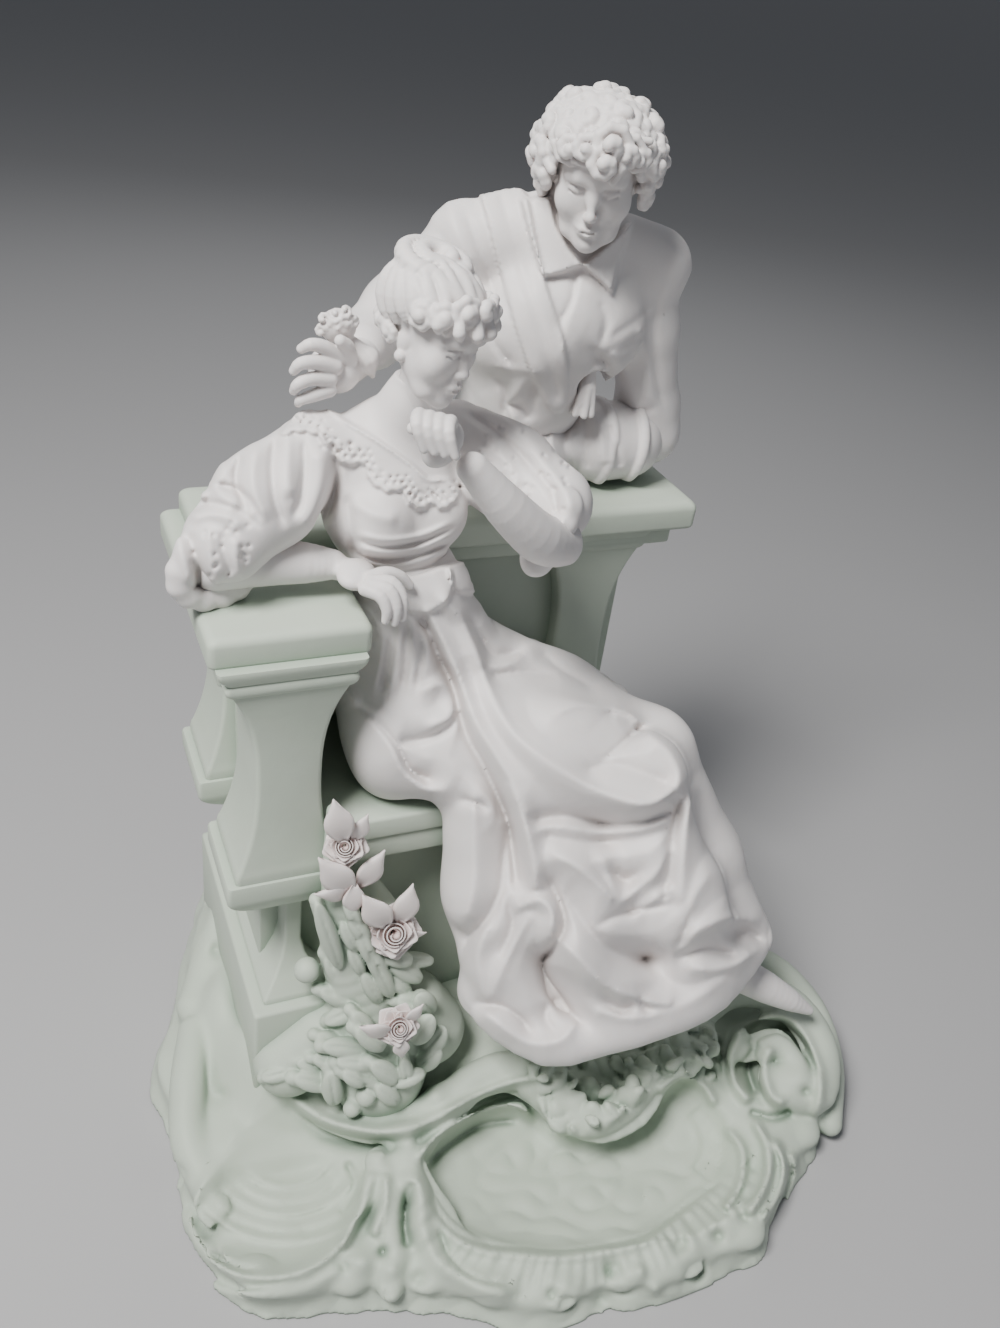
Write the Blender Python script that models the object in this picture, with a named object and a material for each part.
"""Bisque porcelain group: a lady on a classical garden bench, a gentleman leaning over its rail.

The bench is lofted from its mouldings in metres. The figures, the base and the flowers are free forms, worked
out as distance fields and turned to closed meshes. Their pose and carving are written in shares of the
height, UNIT metres each. Both are measured from the front left corner of the bench's arm cap: x along the
bench and y to the back. Heights of the bench are above the underside. Heights in shares have the underside
at FLOOR.
"""
import bpy
import math
import numpy as np

for item in list(bpy.data.objects):
    bpy.data.objects.remove(item, do_unlink=True)

# Overall size: from the underside to the gentleman's top curl
HEIGHT = 0.280
SHARES = 443.0
UNIT = HEIGHT / SHARES
FLOOR = -112.0
MIDDLE_X = 140.0
MIDDLE_Y = 8.0
GAP = 0.0010

# Bench: the arm with its cap, at the left end
ARM_WIDTH = 0.0379
ARM_DEPTH = 0.0669
ARM_TOP = 0.1719
CAP_THICK = 0.0083
SHELF_THICK = 0.0072
SHELF_INSET = 0.0027

# Rail along the back, with its cap
RAIL_LEFT = 0.0051
RAIL_RIGHT = 0.1454
RAIL_FRONT = 0.0362
RAIL_TOP = 0.1770
RAIL_THICK = 0.0090
RAIL_HIP = 0.0008
RAIL_REACH = 0.0009

# Waisted piers on rounded blocks; the widths are half widths
PIER_MIDDLE = 0.0190
PIER_WAIST = 0.0081
PIER_FLARE = 0.0128
BLOCK_HALF = 0.0152
BLOCK_LOW = 0.0872
BLOCK_TALL = 0.0112
FOOT_TALL = 0.0041
CROWN_TALL = 0.0152
FRONT_PIER_FRONT = -0.0019
FRONT_PIER_REAR = 0.0250
BACK_PIER_FRONT = 0.0413
BACK_PIER_REAR = 0.0683
RIGHT_PIER_INSET = 0.0285
RIGHT_PIER_STEP = 0.0038

# Walls between the piers, the seat and what stands below
WALL_THICK = 0.0089
WALL_FOOT = 0.0329
BACK_WALL_FRONT = 0.0468
SEAT_LEFT = 0.0253
SEAT_TOP = 0.1119
SEAT_THICK = 0.0070
SEAT_LIP = 0.0025
SEAT_RIGHT = 0.1239
SEAT_BACK = 0.0531
RISER_FRONT = 0.0101
RISER_INSET = 0.0063
RISER_FOOT = 0.0291
NECK_INSET = 0.0066
NECK_TOP = 0.0897
SLOPE_TALL = 0.0130
STEP_TALL = 0.0020
STEP_INSET = 0.0034
PLINTH_LEFT = 0.0092
PLINTH_RIGHT = 0.0348
PLINTH_FRONT = -0.0057
PLINTH_BACK = 0.0721
PLINTH_TOP = 0.0531
PLINTH_FOOT = 0.0215

# Base: radii of its outline about the middle, one each 30 degrees from the right, anticlockwise
OUTLINE = (174.0, 175.0, 170.0, 162.0, 182.0, 164.0, 164.0, 171.0, 140.0, 147.0, 160.0, 171.0)
MOUND_TOP = -66.0
FOOT_TOP = -92.0

# Figures
LADY_HEAD = 0.0303
LADY_FACE = (86.0, 24.0, 258.0)
LADY_HIP = (94.0, 38.0, 104.0)
GENTLEMAN_HEAD = 0.0348
GENTLEMAN_FACE = (157.0, 66.0, 307.0)
GENTLEMAN_HIP = (160.0, 134.0, 140.0)
ROSE_SIZE = 0.0070

# Facets, and grid steps in shares
STEP_BASE = 2.6
STEP_FIGURE = 2.1
STEP_ROSE = 0.9
FACETS_BASE = 2300
FACETS_LADY = 3300
FACETS_GENTLEMAN = 2400
FACETS_ROSE = 300

GREEN = (0.55, 0.66, 0.58)
WHITE = (0.80, 0.78, 0.77)
PINK = (0.82, 0.74, 0.73)


# Distance fields on a grid

class Field:
    def __init__(self, low, high, step):
        self.low = np.array(low, float)
        self.step = step
        self.count = np.ceil((np.array(high, float) - self.low) / step).astype(int) + 1
        self.values = np.full(self.count, 60.0)

    def window(self, low, high):
        first = np.clip(np.floor((np.array(low) - self.low) / self.step).astype(int), 0, self.count)
        last = np.clip(np.ceil((np.array(high) - self.low) / self.step).astype(int) + 1, 0, self.count)
        cut = tuple(slice(a, b) for a, b in zip(first, last))
        axes = [self.low[i] + self.step * np.arange(first[i], last[i]) for i in range(3)]
        return cut, np.meshgrid(*axes, indexing="ij", sparse=True)

    def whole(self):
        return self.window(self.low, self.low + self.step * (self.count - 1))[1]

    def join(self, low, high, distance, blend=0.0):
        cut, (x, y, z) = self.window(np.array(low) - blend - 6, np.array(high) + blend + 6)
        old = self.values[cut]
        if old.size:
            self.values[cut] = melt(old, distance(x, y, z), blend)

    def carve(self, low, high, distance, blend=0.0):
        cut, (x, y, z) = self.window(np.array(low) - blend - 6, np.array(high) + blend + 6)
        old = self.values[cut]
        if old.size:
            self.values[cut] = -melt(-old, distance(x, y, z), blend)

    def limb(self, ends, radii, blend=4.0):
        """A chain of round cones through the points."""
        points = np.array(ends, float)
        wide = np.array(radii, float)
        reach = wide.max()

        def distance(x, y, z):
            best = None
            for a, b, ra, rb in zip(points, points[1:], wide, wide[1:]):
                found = cone(x, y, z, a, b, ra, rb)
                best = found if best is None else melt(best, found, 2.0)
            return best
        self.join(points.min(0) - reach, points.max(0) + reach, distance, blend)

    def egg(self, middle, radii, blend=4.0, turn=None, cut=False):
        middle = np.array(middle, float)
        radii = np.array(radii, float)
        reach = radii.max()

        def distance(x, y, z):
            return egg_distance(x, y, z, middle, radii, turn)
        act = self.carve if cut else self.join
        act(middle - reach, middle + reach, distance, blend)

    def stroke(self, points, width, height, along=(0.0, 0.0, 0.0)):
        """Raises (or with a negative height sinks) the surface along a line; it reaches further along one way."""
        points = np.array(points, float)
        way = np.array(along, float)
        reach = 3 * width + 3 * width * np.abs(way)
        cut, (x, y, z) = self.window(points.min(0) - reach, points.max(0) + reach)
        if not self.values[cut].size:
            return
        near = np.full(self.values[cut].shape, 1e6)
        for a, b in zip(points, points[1:]):
            ab = b - a
            px, py, pz = x - a[0], y - a[1], z - a[2]
            share = np.clip((px * ab[0] + py * ab[1] + pz * ab[2]) / (ab @ ab), 0, 1)
            dx, dy, dz = px - share * ab[0], py - share * ab[1], pz - share * ab[2]
            off = dx * way[0] + dy * way[1] + dz * way[2]
            near = np.minimum(near, dx * dx + dy * dy + dz * dz - 0.85 * off * off)
        self.values[cut] -= height * np.exp(-near / (width * width))


def melt(a, b, k):
    if k <= 0:
        return np.minimum(a, b)
    h = np.clip(0.5 + 0.5 * (a - b) / k, 0, 1)
    return a + (b - a) * h - k * h * (1 - h)


def cone(x, y, z, a, b, ra, rb):
    ab = b - a
    px, py, pz = x - a[0], y - a[1], z - a[2]
    share = np.clip((px * ab[0] + py * ab[1] + pz * ab[2]) / (ab @ ab), 0, 1)
    dx, dy, dz = px - share * ab[0], py - share * ab[1], pz - share * ab[2]
    return np.sqrt(dx * dx + dy * dy + dz * dz) - (ra + share * (rb - ra))


def egg_distance(x, y, z, middle, radii, turn):
    px, py, pz = x - middle[0], y - middle[1], z - middle[2]
    if turn is not None:
        px, py, pz = (turn[0, i] * px + turn[1, i] * py + turn[2, i] * pz for i in range(3))
    k0 = np.sqrt((px / radii[0]) ** 2 + (py / radii[1]) ** 2 + (pz / radii[2]) ** 2)
    k1 = np.sqrt((px / radii[0] ** 2) ** 2 + (py / radii[1] ** 2) ** 2 + (pz / radii[2] ** 2) ** 2)
    return k0 * (k0 - 1) / np.maximum(k1, 1e-6)


def facing(yaw, pitch, roll=0.0):
    """Columns side, front and up of a head or body: yaw 0 faces -y, positive turns to +x; pitch nods down."""
    a, b, c = math.radians(yaw), math.radians(pitch), math.radians(roll)
    front = np.array([math.sin(a) * math.cos(b), -math.cos(a) * math.cos(b), -math.sin(b)])
    side = np.array([math.cos(a), math.sin(a), 0.0])
    up = np.cross(front, side) * -1.0
    side2 = math.cos(c) * side + math.sin(c) * up
    up2 = math.cos(c) * up - math.sin(c) * side
    return np.column_stack([side2, front, up2])


# Closed mesh of a field: each grid cell is six tetrahedra, cut where the field is zero

CORNERS = np.array([(i, j, k) for i in (0, 1) for j in (0, 1) for k in (0, 1)])


def skin(field):
    v = field.values.copy()
    v[[0, -1]] = np.maximum(v[[0, -1]], 1.0)
    v[:, [0, -1]] = np.maximum(v[:, [0, -1]], 1.0)
    v[:, :, [0, -1]] = np.maximum(v[:, :, [0, -1]], 1.0)
    least = 0.04 * field.step
    v = np.where(np.abs(v) < least, np.where(v < 0, -least, least), v)
    count = field.count
    stride = np.array([count[1] * count[2], count[2], 1])
    inside = v < 0
    some = np.zeros(count - 1, bool)
    every = np.ones(count - 1, bool)
    for i, j, k in CORNERS:
        part = inside[i:count[0] - 1 + i, j:count[1] - 1 + j, k:count[2] - 1 + k]
        some |= part
        every &= part
    cells = np.argwhere(some & ~every) @ stride
    flat = v.ravel()
    keys = []
    for a, b, c, odd in ((0, 1, 2, 0), (1, 2, 0, 0), (2, 0, 1, 0), (0, 2, 1, 1), (2, 1, 0, 1), (1, 0, 2, 1)):
        path = np.array([0, stride[a], stride[a] + stride[b], stride.sum()])
        tet = cells[:, None] + path
        low = flat[tet] < 0
        for single in range(4):
            others = [i for i in range(4) if i != single]
            if single % 2:
                others[0], others[1] = others[1], others[0]
            alone = low[:, single] & ~low[:, others].any(1)
            hole = ~low[:, single] & low[:, others].all(1)
            for chosen, back in ((alone, odd), (hole, 1 - odd)):
                t = tet[chosen]
                tri = [np.sort(t[:, [single, o]], 1) for o in others]
                keys.append(np.stack(tri[::-1] if back else tri, 1))
        for i, j, k, l in ((0, 1, 2, 3), (0, 2, 3, 1), (0, 3, 1, 2), (2, 3, 0, 1), (3, 1, 0, 2), (1, 2, 0, 3)):
            t = tet[low[:, i] & low[:, j] & ~low[:, k] & ~low[:, l]]
            quad = [np.sort(t[:, pair], 1) for pair in ([i, k], [i, l], [j, l], [j, k])]
            for corners in ((0, 1, 2), (0, 2, 3)):
                tri = [quad[c2] for c2 in corners]
                keys.append(np.stack(tri[::-1] if odd else tri, 1))
    edges = np.concatenate(keys).reshape(-1, 2)
    pairs, faces = np.unique(edges[:, 0] * int(count.prod()) + edges[:, 1], return_inverse=True)
    first, last = pairs // int(count.prod()), pairs % int(count.prod())
    share = flat[first] / (flat[first] - flat[last])
    a = np.stack(np.unravel_index(first, count), 1)
    b = np.stack(np.unravel_index(last, count), 1)
    points = field.low + field.step * (a + share[:, None] * (b - a))
    return points, faces.reshape(-1, 3)


def keep_largest(points, faces):
    """Drops crumbs that a cut leaves loose."""
    label = np.arange(len(points))
    while True:
        low = label[faces].min(1)
        new = label.copy()
        for i in range(3):
            np.minimum.at(new, faces[:, i], low)
        new = new[new]
        if (new == label).all():
            break
        label = new
    root = label[faces[:, 0]]
    names, size = np.unique(root, return_counts=True)
    faces = faces[root == names[size.argmax()]]
    used, faces = np.unique(faces, return_inverse=True)
    return points[used], faces.reshape(-1, 3)


def to_metres(points):
    return (np.asarray(points, float) - (MIDDLE_X, MIDDLE_Y, FLOOR)) * UNIT


def material(name, colour, rough=0.75):
    made = bpy.data.materials.new(name)
    made.use_nodes = True
    shader = made.node_tree.nodes["Principled BSDF"]
    shader.inputs["Base Color"].default_value = (*colour, 1.0)
    shader.inputs["Roughness"].default_value = rough
    return made


def mesh_object(name, points, faces, look):
    mesh = bpy.data.meshes.new(name)
    mesh.from_pydata(np.asarray(points).tolist(), [], [tuple(f) for f in np.asarray(faces).tolist()])
    mesh.update()
    made = bpy.data.objects.new(name, mesh)
    made.data.materials.append(look)
    bpy.context.scene.collection.objects.link(made)
    return made


def cast(name, field, facets, look):
    """The field's skin as one object, thinned to the wanted number of facets."""
    points, faces = keep_largest(*skin(field))
    made = mesh_object(name, to_metres(points), faces, look)
    thin = made.modifiers.new("Thin", "DECIMATE")
    thin.ratio = facets / len(faces)
    bpy.context.view_layer.update()
    graph = bpy.context.evaluated_depsgraph_get()
    low = bpy.data.meshes.new_from_object(made.evaluated_get(graph))
    made.modifiers.clear()
    made.data = low
    return made


# Bench: every block is a stack of level rectangles (height, left, right, front, back), in metres

def cap_rows(left, right, front, back, top, thick, hip=0.0):
    """A slab with a rounded lip; its top may rise a little from the edges to the middle."""
    lip = 0.16 * thick
    rows = []
    for share, inset in ((0.0, 0.7), (0.16, 0.0), (0.62, 0.0), (0.82, 0.3), (1.0, 1.6)):
        rows.append((top - (1 - share) * thick, left + inset * lip, right - inset * lip,
                     front + inset * lip, back - inset * lip))
    if hip:
        rows.append((top + hip, left + 9 * lip, right - 9 * lip, front + 9 * lip, back - 9 * lip))
    return rows


def pier_rows(middle, front, rear, top):
    """A waisted pier from the rounded block it stands on up to the mouldings under a cap."""
    middle_y, half_y = 0.5 * (front + rear), 0.5 * (rear - front)
    low, high = BLOCK_LOW + BLOCK_TALL + FOOT_TALL, top - CROWN_TALL
    rows = []
    for share, wide, deep in ((0.0, 0.66, 0.84), (0.28, 0.94, 0.96), (0.62, 1.04, 1.02), (1.0, 1.04, 1.02)):
        rows.append((BLOCK_LOW + share * BLOCK_TALL, BLOCK_HALF * wide, deep))
    rows.append((BLOCK_LOW + BLOCK_TALL + 0.05 * FOOT_TALL, PIER_FLARE, 0.95))
    rows.append((low, PIER_FLARE, 0.95))
    for share in (0.08, 0.2, 0.36, 0.52, 0.7, 0.85, 0.94, 1.0):
        bulge = (2 * abs(share - 0.5)) ** (2.6 if share > 0.5 else 2.2)
        wide = PIER_FLARE * (1.08 if share > 0.5 else 1.0)
        half = PIER_WAIST + (wide - PIER_WAIST) * bulge
        rows.append((low + share * (high - low), half, 0.95 - 0.1 * (1 - bulge)))
    for share, wide, deep in ((0.03, 1.17, 0.98), (0.23, 1.20, 1.00), (0.25, 1.30, 1.04), (0.48, 1.36, 1.06)):
        rows.append((high + share * CROWN_TALL, PIER_FLARE * wide, deep))
    return [(z, middle - half, middle + half, middle_y - half_y * deep, middle_y + half_y * deep)
            for z, half, deep in rows]


def box_rows(left, right, front, back, low, high):
    return [(low, left, right, front, back), (high, left, right, front, back)]


def seat_rows():
    """The seat slab on a lower lip."""
    low = SEAT_TOP - SEAT_THICK
    soft = 0.1 * SEAT_THICK
    return [(low - 1.5 * SEAT_LIP, SEAT_LEFT, SEAT_RIGHT - SEAT_LIP, SEAT_LIP, SEAT_BACK),
            (low - 0.5 * SEAT_LIP, SEAT_LEFT, SEAT_RIGHT - soft, soft, SEAT_BACK),
            (low - 0.1 * SEAT_LIP, SEAT_LEFT, SEAT_RIGHT - 3 * soft, 3 * soft, SEAT_BACK),
            (low, SEAT_LEFT, SEAT_RIGHT, 0.0, SEAT_BACK),
            (SEAT_TOP - soft, SEAT_LEFT, SEAT_RIGHT, 0.0, SEAT_BACK),
            (SEAT_TOP, SEAT_LEFT, SEAT_RIGHT - soft, soft, SEAT_BACK)]


def inside(rectangle, inset):
    left, right, front, back = rectangle
    return left + inset, right - inset, front + inset, back - inset


UNDER_CAP = ARM_TOP - CAP_THICK + 0.2 * CAP_THICK
UNDER_RAIL = RAIL_TOP - RAIL_THICK + 0.2 * RAIL_THICK
RAIL_BACK = ARM_DEPTH + RAIL_REACH
PLINTH = (PLINTH_LEFT, PLINTH_RIGHT, PLINTH_FRONT, PLINTH_BACK)
BENCH = {
    "arm_cap": cap_rows(0.0, ARM_WIDTH, 0.0, ARM_DEPTH, ARM_TOP, CAP_THICK),
    "rail_cap": cap_rows(RAIL_LEFT, RAIL_RIGHT, RAIL_FRONT, RAIL_BACK, RAIL_TOP, RAIL_THICK, RAIL_HIP),
    "front_pier": pier_rows(PIER_MIDDLE, FRONT_PIER_FRONT, FRONT_PIER_REAR, ARM_TOP),
    "back_pier": pier_rows(PIER_MIDDLE, BACK_PIER_FRONT, BACK_PIER_REAR, ARM_TOP),
    "right_pier": pier_rows(RAIL_RIGHT - RIGHT_PIER_INSET, RAIL_FRONT + RIGHT_PIER_STEP,
                            ARM_DEPTH - RIGHT_PIER_STEP, RAIL_TOP),
    "under_arm": box_rows(SHELF_INSET, ARM_WIDTH - SHELF_INSET, SHELF_INSET, ARM_DEPTH - SHELF_INSET,
                          UNDER_CAP - SHELF_THICK, UNDER_CAP),
    "under_rail": box_rows(RAIL_LEFT + SHELF_INSET, RAIL_RIGHT - SHELF_INSET, RAIL_FRONT + SHELF_INSET,
                           RAIL_BACK - SHELF_INSET, UNDER_RAIL - SHELF_THICK, UNDER_RAIL),
    "arm_wall": box_rows(PIER_MIDDLE - 0.5 * WALL_THICK, PIER_MIDDLE + 0.5 * WALL_THICK,
                         0.5 * FRONT_PIER_REAR, 0.9 * BACK_PIER_REAR, WALL_FOOT, UNDER_CAP - 0.5 * SHELF_THICK),
    "back_wall": box_rows(PIER_MIDDLE, RAIL_RIGHT - RIGHT_PIER_INSET, BACK_WALL_FRONT,
                          BACK_WALL_FRONT + 1.3 * WALL_THICK, WALL_FOOT, UNDER_RAIL - 0.5 * SHELF_THICK),
    "seat": seat_rows(),
    "seat_riser": box_rows(SEAT_LEFT, SEAT_RIGHT - RISER_INSET, RISER_FRONT, BACK_WALL_FRONT + 0.5 * WALL_THICK,
                           RISER_FOOT, SEAT_TOP - 1.2 * SEAT_THICK),
    "neck": [(PLINTH_TOP - STEP_TALL, *inside(PLINTH, STEP_INSET)),
             (PLINTH_TOP + STEP_TALL, *inside(PLINTH, STEP_INSET)),
             (PLINTH_TOP + SLOPE_TALL, *inside(PLINTH, STEP_INSET + NECK_INSET)),
             (NECK_TOP, *inside(PLINTH, STEP_INSET + NECK_INSET))],
    "plinth": box_rows(*PLINTH, PLINTH_FOOT, PLINTH_TOP),
}


def loft(name, rows, look):
    points = []
    faces = []
    for z, left, right, front, back in rows:
        points += [(left, front, z), (right, front, z), (right, back, z), (left, back, z)]
    for level in range(len(rows) - 1):
        low = 4 * level
        for i in range(4):
            j = (i + 1) % 4
            faces.append((low + i, low + j, low + 4 + j, low + 4 + i))
    top = 4 * (len(rows) - 1)
    faces.append((3, 2, 1, 0))
    faces.append((top, top + 1, top + 2, top + 3))
    middle = np.array((MIDDLE_X, MIDDLE_Y, 0.0)) * UNIT
    return mesh_object(name, np.array(points) - middle, faces, look)


def bench_distance(x, y, z):
    """Distance to the bench, with it and the points in shares."""
    x, y, z = x * UNIT, y * UNIT, (z - FLOOR) * UNIT
    best = None
    for rows in BENCH.values():
        table = np.array(rows)
        left, right, front, back = (np.interp(z, table[:, 0], table[:, i]) for i in range(1, 5))
        out = np.maximum(np.maximum(left - x, x - right), np.maximum(front - y, y - back))
        out = np.maximum(out, np.maximum(table[0, 0] - z, z - table[-1, 0]))
        best = out if best is None else np.minimum(best, out)
    return best / UNIT


# Base: a low foot with two fluted shell dishes and a rocky mound that carries the bench

def outline_radius(angle):
    turns = (angle / (2 * math.pi)) % 1.0 * len(OUTLINE)
    first = np.floor(turns).astype(int) % len(OUTLINE)
    share = turns - np.floor(turns)
    soft = share * share * (3 - 2 * share)
    table = np.array(OUTLINE)
    radius = table[first] * (1 - soft) + table[(first + 1) % len(OUTLINE)] * soft
    return radius + 2.2 * np.sin(9 * angle) + 1.6 * np.sin(17 * angle + 1.0)


def dish(x, y, middle, half, turn, rim, floor, flutes):
    """Height of one shell dish: hollow, a raised rim and flutes that fan out to its edge."""
    c, s = math.cos(math.radians(turn)), math.sin(math.radians(turn))
    u = ((x - middle[0]) * c + (y - middle[1]) * s) / half[0]
    v = (-(x - middle[0]) * s + (y - middle[1]) * c) / half[1]
    r = np.sqrt(u * u + v * v)
    fan = np.sin(np.arctan2(v, u) * flutes)
    height = floor + (rim - floor) * np.clip(r, 0, 1) ** 3 + 1.1 * fan * np.clip((r - 0.62) / 0.2, 0, 1)
    return height, r


def base_height(x, y):
    angle = np.arctan2(y - MIDDLE_Y, x - MIDDLE_X)
    away = outline_radius(angle) - np.hypot(x - MIDDLE_X, y - MIDDLE_Y)
    height = FOOT_TOP - 9.0 + 14.0 * np.clip(away / 26.0, 0, 1) ** 0.6
    for middle, half, turn, rim, floor, flutes in (
            ((158.0, -84.0), (84.0, 42.0), -12.0, -90.0, -101.0, 22),
            ((18.0, -58.0), (44.0, 36.0), 20.0, -88.0, -98.0, 18)):
        high, r = dish(x, y, middle, half, turn, rim, floor, flutes)
        lip = high + 3.5 * np.exp(-((r - 1.02) / 0.07) ** 2)
        height = np.where(r < 1.15, height + (lip - height) * np.clip((1.15 - r) / 0.12, 0, 1), height)
    edge = np.maximum(np.abs(x - 120.0) / 128.0, np.abs(y - 62.0) / 92.0) ** 1.0
    round_edge = np.hypot((x - 128.0) / 132.0, (y - 56.0) / 98.0)
    mound = np.clip((1.06 - 0.45 * edge - 0.55 * round_edge) / 0.2, 0, 1)
    rocks = 3.0 * np.sin(0.11 * x + 0.07 * y) + 2.5 * np.sin(0.16 * y - 0.05 * x + 1.0)
    raised = MOUND_TOP + rocks
    return height + (np.maximum(raised, height) - height) * mound * mound * (3 - 2 * mound)


def base_distance(x, y, z):
    angle = np.arctan2(y - MIDDLE_Y, x - MIDDLE_X)
    side = np.hypot(x - MIDDLE_X, y - MIDDLE_Y) - outline_radius(angle)
    side = side + 5.0 * np.sin(np.clip((z - FLOOR) / 20.0, 0, 1) * math.pi) - 2.0
    over = (z - base_height(x, y)) * 0.8
    return -melt(-side, -over, 5.0)


SCROLLS = (
    # ridge of rock and leaf that parts the dishes from the mound
    (((36, -20, -84), (60, -40, -80), (88, -44, -76), (112, -38, -70), (134, -42, -72), (154, -70, -80),
      (178, -70, -78), (200, -56, -72), (224, -52, -70)), (6, 8, 8, 8, 10, 7, 9, 8, 6)),
    # leaf between the two dishes
    (((70, -52, -78), (72, -74, -86), (84, -96, -94), (98, -118, -100)), (7, 8, 7, 5)),
    (((58, -58, -80), (58, -80, -88), (50, -104, -98)), (6, 6, 5)),
    # large scrolls at the right end
    (((226, -40, -70), (252, -34, -62), (276, -46, -64), (286, -66, -76), (276, -86, -86), (256, -84, -84)),
     (7, 8, 9, 9, 8, 6)),
    (((260, -8, -70), (284, -20, -70), (300, -42, -82), (298, -68, -94), (282, -94, -102)), (9, 9, 8, 7, 6)),
    (((246, -60, -74), (262, -62, -72), (266, -72, -78), (254, -76, -80)), (6, 7, 6, 5)),
    # scrolls at the left end
    (((-4, 36, -84), (-12, 10, -86), (-16, -14, -94), (-12, -34, -98)), (8, 8, 8, 6)),
    (((-2, 52, -84), (14, 82, -78), (26, 112, -78), (48, 132, -86)), (8, 9, 9, 8)),
    # roll along the back
    (((64, 138, -90), (110, 143, -86), (160, 143, -90), (208, 132, -86), (250, 108, -90)), (8, 9, 7, 9, 8)),
    (((272, 82, -88), (292, 52, -84), (299, 20, -90)), (8, 9, 8)),
)


def raise_base(field):
    low = (MIDDLE_X - 195, MIDDLE_Y - 195, FLOOR - 4)
    high = (MIDDLE_X + 200, MIDDLE_Y + 195, -30)
    field.join(low, high, base_distance)
    for points, radii in SCROLLS:
        field.limb(points, radii, 5.0)
    for angle in range(200, 345, 12):
        a = math.radians(angle)
        far = float(outline_radius(np.array(a))) - 9.0
        middle = (MIDDLE_X + far * math.cos(a), MIDDLE_Y + far * math.sin(a), -98.0)
        field.egg(middle, (8.5, 8.5, 6.0), 3.0)
    # leaf work and rock under the roses and below the seat
    for i in range(26):
        t = i / 25.0
        swing = math.sin(i * 2.4)
        middle = (52 + 8 * swing + 20 * t * t, -9 - 34 * t * t - 2 * math.cos(i * 1.7), 64 - 124 * t)
        if -52 < middle[2] < 70:
            field.egg(middle, (7.5, 5.0, 7.0), 2.5)
    for i in range(18):
        t = i / 17.0
        field.egg((72 + 26 * math.sin(i * 2.1), -18 - 22 * t, -14 - 46 * t), (10.0, 9.0, 9.0), 3.0)
    field.carve((-80, -170, FLOOR - 20), (340, 190, FLOOR),
                lambda x, y, z: z - FLOOR + 0 * x + 0 * y, 0.0)


# Lady

def head(field, middle, frame, size, blend=2.0):
    def at(side, front, up):
        return np.array(middle) + frame @ (np.array([side, front, up]) * size)

    def lump(place, radii, soft=blend, cut=False):
        field.egg(at(*place), np.array(radii) * size, soft, frame, cut)
    lump((0, -0.07, 0.14), (0.33, 0.40, 0.37), 3.0)
    lump((0, 0.10, -0.14), (0.26, 0.27, 0.34), 5.0)
    lump((0, 0.27, -0.42), (0.10, 0.09, 0.09), 3.0)
    for hand in (-1, 1):
        lump((0.15 * hand, 0.43, 0.02), (0.10, 0.08, 0.06), 3.0, True)
        lump((0.13 * hand, 0.31, 0.015), (0.075, 0.06, 0.05), 1.0)
        lump((0.17 * hand, 0.24, -0.15), (0.11, 0.11, 0.11), 3.0)
    field.limb((at(0, 0.35, 0.04), at(0, 0.42, -0.15)), (0.035 * size, 0.055 * size), 2.0)
    lump((0, 0.36, -0.27), (0.09, 0.045, 0.03), 1.0)
    lump((0, 0.34, -0.31), (0.07, 0.045, 0.03), 1.0)
    return at


def curls(field, middle, frame, size, count, keep, ball=0.13, shell=(0.36, 0.44, 0.40)):
    """Round locks spread evenly over the skull where keep(side, front, up) says so."""
    golden = math.pi * (3 - math.sqrt(5))
    for i in range(count):
        up = 1 - 2 * (i + 0.5) / count
        ring = math.sqrt(1 - up * up)
        side, front = ring * math.cos(golden * i), ring * math.sin(golden * i)
        if not keep(side, front, up):
            continue
        wobble = 1 + 0.05 * math.sin(7.0 * i)
        place = np.array([side * shell[0], front * shell[1] - 0.06, up * shell[2] + 0.14]) * size * wobble
        radius = ball * size * (1 + 0.18 * math.sin(3.3 * i))
        field.egg(np.array(middle) + frame @ place, (radius,) * 3, 1.0)


def fingers(field, knuckles, tips, radius, bend):
    """Four fingers between two knuckle ends and two tip ends, with one middle joint each."""
    for i in range(4):
        t = i / 3.0
        a = np.array(knuckles[0]) * (1 - t) + np.array(knuckles[1]) * t
        c = np.array(tips[0]) * (1 - t) + np.array(tips[1]) * t
        b = 0.5 * (a + c) + np.array(bend)
        field.limb((a, b, c), (radius, radius * 0.92, radius * 0.75), 0.8)


VIEW = np.array([0.45, 0.89, -0.30]) / np.linalg.norm([0.45, 0.89, -0.30])

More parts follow.
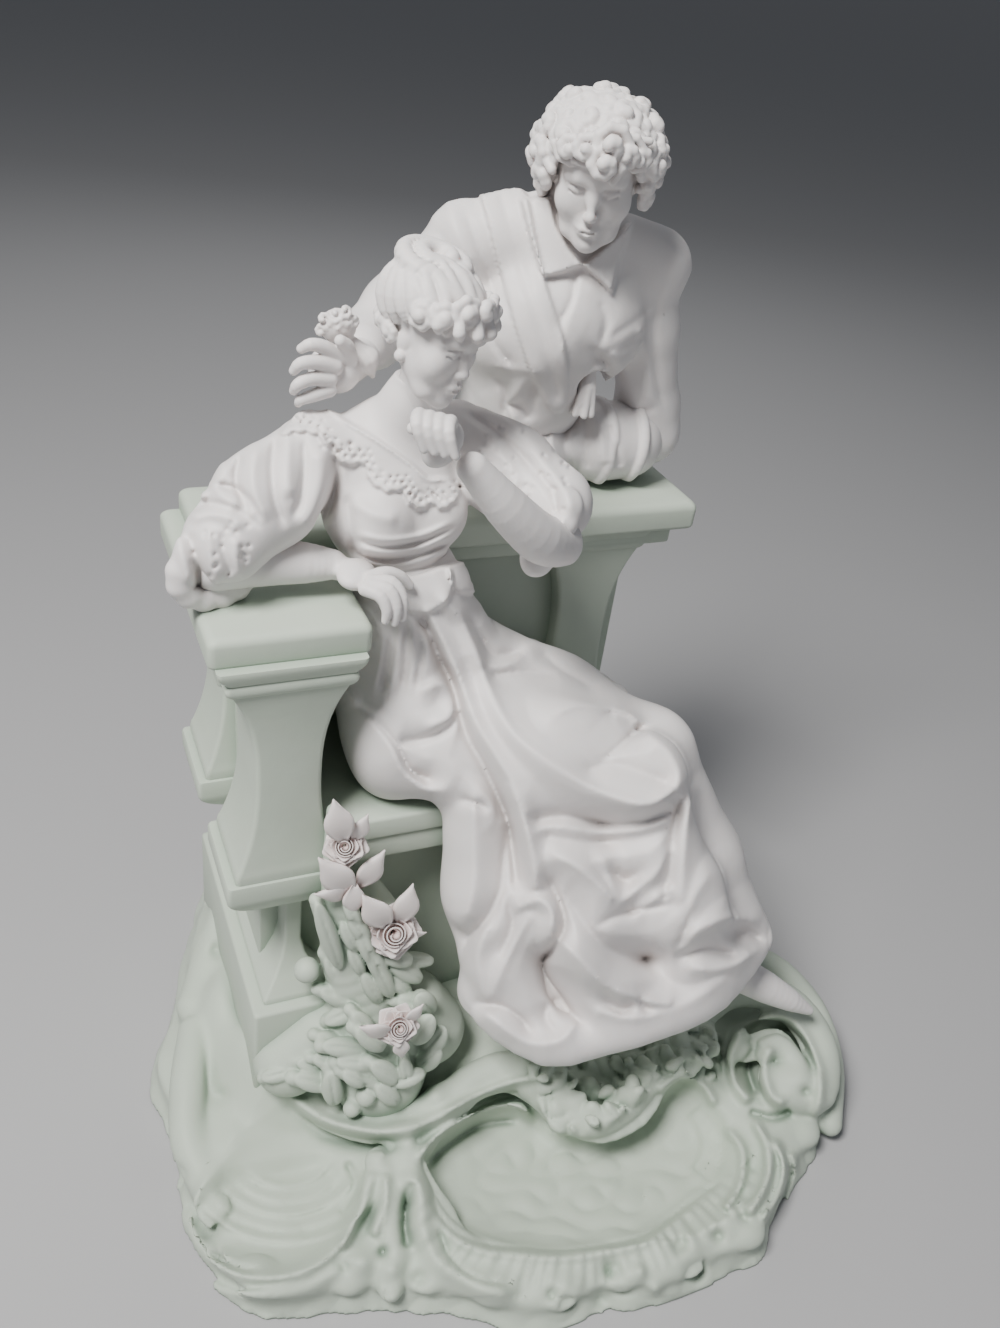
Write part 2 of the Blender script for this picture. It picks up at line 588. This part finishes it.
SKIRT_FOLDS = (
    # main crest from the waist down over the near knee
    (((92, 4, 146), (99, -4, 123), (117, -14, 102), (131, -28, 92), (149, -36, 86), (168, -42, 84)), 4.5, 4.5),
    (((96, 8, 134), (106, 0, 116), (122, -8, 104), (140, -20, 96), (158, -30, 92)), 4.0, -3.0),
    # second fold to the hanging tip
    (((94, 2, 134), (102, -10, 107), (108, -24, 92), (110, -38, 80), (118, -52, 60)), 4.0, 4.0),
    (((100, -6, 104), (114, -24, 86), (126, -40, 72), (132, -52, 56)), 4.5, -4.0),
    # drapes that fall from the seat's edge
    (((90, -10, 96), (90, -12, 60), (96, -26, 20), (104, -44, -14)), 4.0, 3.5),
    (((98, -14, 92), (100, -22, 56), (108, -40, 16), (120, -56, -20)), 4.0, -3.5),
    (((108, -30, 78), (112, -42, 40), (122, -54, 6), (134, -64, -26)), 4.5, 3.5),
    (((124, -48, 56), (134, -54, 24), (150, -62, -6), (168, -68, -30)), 4.5, -4.0),
    (((150, -46, 72), (158, -54, 40), (172, -62, 8), (192, -66, -18)), 4.5, 3.5),
    (((168, -46, 74), (180, -54, 44), (194, -60, 16), (214, -62, -8)), 4.0, -3.0),
    (((186, -38, 76), (198, -48, 48), (212, -54, 20), (230, -56, -4)), 4.0, 2.5),
    # cross folds over the shins
    (((134, -54, 46), (152, -56, 34), (172, -58, 36), (190, -54, 46)), 3.5, 2.5),
    (((140, -58, 22), (162, -60, 8), (186, -60, 14), (206, -54, 28)), 3.5, 2.5),
    # lap
    (((104, 24, 136), (128, 12, 122), (156, -2, 114), (178, -14, 106)), 4.0, -2.5),
    (((112, 34, 138), (138, 22, 122), (168, 10, 112), (192, -2, 100)), 4.0, 2.2),
)


def raise_lady(field):
    hip = np.array(LADY_HIP)
    # skirt: hips, thighs, shins under cloth and the cloth that falls between
    field.egg(hip, (37, 32, 40), 4)
    field.limb((hip + (-2, -14, -8), (134, -4, 88), (166, -26, 84)), (30, 27, 22), 10)
    field.limb((hip + (12, 4, -2), (150, 20, 90), (190, -4, 82)), (32, 28, 21), 10)
    field.limb(((166, -26, 82), (186, -44, 32), (204, -48, -4)), (22, 23, 24), 10)
    field.limb(((190, -4, 80), (214, -22, 30), (228, -38, -8)), (20, 20, 22), 10)
    field.limb(((112, -2, 74), (116, -18, 30), (122, -36, -10)), (18, 21, 21), 10)
    field.limb(((136, -20, 72), (146, -38, 30), (160, -46, -8)), (22, 23, 25), 10)
    field.limb(((108, -34, -14), (132, -56, -24), (168, -64, -16), (208, -61, -13), (239, -48, -5)),
               (10, 13, 13, 12, 8), 6)
    field.egg((78, 20, 92), (20, 22, 30), 8)
    # train over the seat at the right
    field.limb(((150, 48, 84), (186, 40, 76)), (24, 14), 10)
    for points, width, height in SKIRT_FOLDS:
        field.stroke(points, width, height, VIEW)
    # shoe
    field.limb(((238, -50, -30), (256, -58, -40), (272, -64, -48)), (8.0, 6.5, 3.5), 3)
    # bodice
    body = facing(10, 4)
    field.egg((87, 38, 146), (25, 20, 22), 8, body)
    field.limb(((83, 38, 146), (79, 38, 176)), (19, 20), 8)
    field.egg((77, 40, 190), (28, 20, 28), 8, body)
    for side in (-1, 1):
        field.egg(np.array((77, 40, 190)) + body @ np.array((12.0 * side, 15.0, 0.0)), (12, 11, 13), 6, body)
    field.limb(((48, 42, 208), (76, 44, 216), (104, 50, 211)), (11, 13, 11), 8)
    field.limb(((78, 40, 214), (80, 36, 232), (84, 30, 244)), (11.5, 9.5, 9.5), 5)
    # peplum tabs below the waist
    field.stroke(((62, 20, 152), (76, 16, 148), (92, 16, 150), (108, 20, 158)), 4.0, 3.0)
    # wide collar over the shoulders with its edge
    field.stroke(((50, 36, 218), (52, 24, 208), (62, 18, 202), (76, 16, 196), (90, 20, 200), (102, 32, 210)), 4.0, 2.4)
    for i in range(9):
        t = i / 8.0
        field.egg((50 + 50 * t, 25 - 9 * math.sin(math.pi * t), 209 - 12 * math.sin(math.pi * t)), (4, 3, 4), 1.5)
    # sleeve and arm over the arm cap
    field.limb(((45, 42, 208), (28, 34, 196), (12, 27, 182)), (14, 18, 17), 5)
    for i in range(10):
        a = 2 * math.pi * i / 10
        field.egg((9 + 13 * math.cos(a), 25 + 4 * math.cos(a), 174 + 12 * math.sin(a)), (5.5, 5, 5.5), 2)
    wrist = np.array((53.0, 24.0, 173.0))
    field.limb(((12, 27, 175), (30, 26, 173), wrist), (9.5, 8.8, 6.2), 3)
    field.egg((61, 15, 172), (9.5, 8, 5), 3, facing(40, 15))
    fingers(field, ((66, 14, 172), (60, 3, 171)), ((76, 10, 161), (70, -5, 160)), 2.7, (1.5, -1.0, 3.0))
    # sleeve and arm raised to the chin
    field.limb(((106, 50, 208), (120, 32, 202), (130, 8, 198)), (14, 18, 16), 5)
    for i in range(9):
        a = 2 * math.pi * i / 9
        field.egg((124 + 5 * math.cos(a), -4 + 5 * math.sin(a), 193 + 12 * math.cos(a)), (5.5, 5, 5.5), 2)
    field.limb(((126, -4, 190), (104, -14, 206), (81, -16, 231)), (9, 8.2, 6), 3)
    field.egg((72, -16, 240), (8.0, 7.5, 9.0), 3)
    fingers(field, ((64, -14, 248), (76, -20, 249)), ((62, -24, 238), (72, -26, 239)), 2.7, (0.0, -4.0, 3.0))
    # head and hair
    frame = facing(30, 36, -6)
    size = LADY_HEAD / UNIT
    head(field, LADY_FACE, frame, size)
    face = np.array(LADY_FACE)
    field.egg(face + frame @ np.array((0, -0.14, 0.2)) * size, np.array((0.39, 0.42, 0.38)) * size, 2, frame)
    curls(field, face, frame, size, 90, lambda s, f, u: f > 0.1 and 0.45 < u < 0.8, 0.085, (0.38, 0.46, 0.42))
    curls(field, face, frame, size, 60, lambda s, f, u: f < 0.0 and u > -0.5, 0.09, (0.39, 0.43, 0.41))
    field.egg((88, 42, 275), (16, 13, 10), 2)


# Gentleman

COAT_FOLDS = (
    # sash from the shoulder across the chest
    (((130, 92, 290), (142, 68, 262), (152, 62, 236), (160, 66, 210)), 8.0, 3.0),
    # front edge of the coat
    (((160, 56, 268), (164, 52, 244), (160, 62, 212)), 2.6, 1.8),
    (((186, 64, 262), (188, 60, 240), (186, 68, 216)), 4.0, -2.0),
    (((196, 70, 258), (204, 72, 236), (212, 80, 214)), 3.5, 2.0),
    (((206, 78, 240), (214, 82, 222), (218, 86, 204)), 3.0, -1.8),
)


def raise_gentleman(field):
    hip = np.array(GENTLEMAN_HIP)
    # body leaning over the rail
    lean = facing(-2, 34)
    field.limb((hip, (158, 118, 178), (154, 96, 212)), (27, 26, 27), 8)
    field.egg((158, 86, 240), (41, 27, 32), 10, lean)
    field.limb(((121, 96, 272), (158, 88, 274), (200, 85, 265)), (14, 17, 12), 8)
    # coat skirts
    field.egg((160, 134, 118), (32, 24, 42), 8)
    # legs in breeches and stockings, standing behind the bench
    for foot, knee in (((140, 132, -58), (140, 130, 40)), ((184, 138, -58), (182, 126, 44))):
        top = (0.5 * (knee[0] + 160), 138, 110)
        field.limb((top, knee, (foot[0], foot[1] + 4, 0), foot), (20, 15, 12.5, 8), 5)
        field.limb(((foot[0], foot[1] + 4, -60), (foot[0] - 2, foot[1] - 14, -64)), (9, 7), 4)
        field.limb(((knee[0] - 9, knee[1], knee[2] - 14), (knee[0] + 9, knee[1], knee[2] - 14)), (8, 8), 3)
    # arm on the rail with its rolled cuff
    field.limb(((194, 86, 260), (197, 88, 238), (213, 92, 202), (215, 92, 189)), (15, 14.5, 14, 13), 5)
    field.limb(((217, 92, 187), (196, 88, 186)), (13.5, 14.5), 4)
    field.limb(((192, 87, 187), (184, 86, 188)), (17.5, 17.0), 2)
    field.limb(((186, 86, 186), (158, 80, 188), (146, 76, 190)), (9.5, 8.5, 7), 2)
    field.egg((138, 74, 190), (10, 8, 6.5), 3)
    # arm behind the lady with the hand at her shoulder
    field.limb(((120, 96, 266), (96, 104, 238), (82, 94, 232)), (16, 14, 12), 5)
    field.limb(((82, 94, 232), (70, 68, 238)), (12, 8), 4)
    field.egg((60, 56, 241), (9, 10, 8), 3)
    fingers(field, ((54, 50, 246), (52, 58, 236)), ((40, 40, 244), (40, 46, 230)), 3.0, (-5.0, -1.0, 2.5))
    # tassel
    field.limb(((186, 70, 222), (188, 72, 208)), (4.0, 3.0), 1)
    for points, width, height in COAT_FOLDS:
        field.stroke(points, width, height, VIEW)
    # neck, collar and head
    field.limb(((158, 84, 276), (157, 76, 290)), (14, 12), 4)
    for side in (-1, 1):
        tip = np.array((152 + 24 * side + 4, 52 + 6 * side, 262))
        field.limb(((158 + 13 * side, 72, 284), (158 + 10 * side, 58, 276), tip), (6, 5, 2.5), 3)
    frame = facing(-28, 20, 0)
    size = GENTLEMAN_HEAD / UNIT
    head(field, GENTLEMAN_FACE, frame, size)
    face = np.array(GENTLEMAN_FACE)
    field.egg(face + frame @ np.array((0, -0.13, 0.18)) * size, np.array((0.37, 0.41, 0.38)) * size, 2, frame)
    curls(field, face, frame, size, 110, lambda s, f, u: (f < 0.12 and u > -0.55) or u > 0.5, 0.105,
          (0.43, 0.48, 0.53))


# Applied roses: petals turned about a bud, on leaves

ROSES = {
    "rose_top": ((50, -14, 63), (-0.2, -0.85, 0.5), 5),
    "rose_middle": ((73, -19, 20), (0.15, -0.85, 0.5), 2),
    "rose_lower": ((74, -46, -30), (0.1, -0.75, 0.66), 3),
}


def turned(front):
    front = np.array(front) / np.linalg.norm(front)
    side = np.cross((0, 0, 1.0), front)
    side /= np.linalg.norm(side)
    return np.column_stack([side, np.cross(front, side), front])


def raise_rose(field, middle, front, leaves):
    frame = turned(front)
    middle = np.array(middle, float)
    size = ROSE_SIZE / UNIT
    field.egg(middle - frame @ np.array((0, 0, 0.25 * size)), (size * 0.8,) * 3, 1.0)
    for ring, count, radius, tall in ((0, 5, 0.62, 0.05), (1, 4, 0.40, 0.35), (2, 3, 0.2, 0.55)):
        for i in range(count):
            a = 2 * math.pi * (i + 0.4 * ring) / count
            place = np.array((math.cos(a) * radius, math.sin(a) * radius, tall)) * size
            field.egg(middle + frame @ place, np.array((0.36, 0.36, 0.30)) * size * (1 - 0.15 * ring), 0.4, frame)
    for i in range(leaves):
        a = 2 * math.pi * (i + 0.3) / leaves
        out = np.array((math.cos(a), math.sin(a), -0.15))
        near, far = middle + frame @ (out * size * 0.7), middle + frame @ (out * size * 1.55)
        field.limb((near, 0.5 * (near + far), far), (2.4, 3.4, 1.0), 0.6)


green = material("green bisque", GREEN)
white = material("white bisque", WHITE)
pink = material("pink white bisque", PINK)
clear = GAP / UNIT

# Green castings: the bench joined from its blocks, and the base with a socket round the bench's feet
bench = None
for part, rows in BENCH.items():
    block = loft("block_" + part, rows, green)
    if bench is None:
        bench = block
        bench.name = "bench"
        continue
    block.hide_render = True
    block.display_type = "WIRE"
    union = bench.modifiers.new(part, "BOOLEAN")
    union.operation = "UNION"
    union.solver = "EXACT"
    union.object = block

ground = Field((MIDDLE_X - 200, MIDDLE_Y - 170, FLOOR - 6), (MIDDLE_X + 200, MIDDLE_Y + 170, 80), STEP_BASE)
raise_base(ground)
ground.values = np.maximum(ground.values, clear - bench_distance(*ground.whole()))
cast("base", ground, FACETS_BASE, green)

# White castings: each keeps clear of what it rests on
LADY_LOW = (-12, -84, -76)
LADY_HIGH = (292, 90, 300)
lady_field = Field(LADY_LOW, LADY_HIGH, STEP_FIGURE)
raise_lady(lady_field)
near = Field(LADY_LOW, LADY_HIGH, STEP_FIGURE)
raise_base(near)
solid = np.minimum(near.values, bench_distance(*near.whole()))
lady_field.values = np.maximum(lady_field.values, clear - solid)

MAN_LOW = (24, 20, -84)
MAN_HIGH = (246, 196, 350)
man_field = Field(MAN_LOW, MAN_HIGH, STEP_FIGURE)
raise_gentleman(man_field)
near = Field(MAN_LOW, MAN_HIGH, STEP_FIGURE)
raise_base(near)
raise_lady(near)
solid = np.minimum(near.values, bench_distance(*near.whole()))
man_field.values = np.maximum(man_field.values, clear - solid)

cast("lady", lady_field, FACETS_LADY, white)
cast("gentleman", man_field, FACETS_GENTLEMAN, white)

# Applied flowers
for name, (middle, front, leaves) in ROSES.items():
    reach = 2.2 * ROSE_SIZE / UNIT
    low, high = np.array(middle) - reach, np.array(middle) + reach
    bloom = Field(low, high, STEP_ROSE)
    raise_rose(bloom, middle, front, leaves)
    near = Field(low, high, STEP_ROSE)
    raise_base(near)
    raise_lady(near)
    solid = np.minimum(near.values, bench_distance(*near.whole()))
    bloom.values = np.maximum(bloom.values, clear - solid)
    cast(name, bloom, FACETS_ROSE, pink)
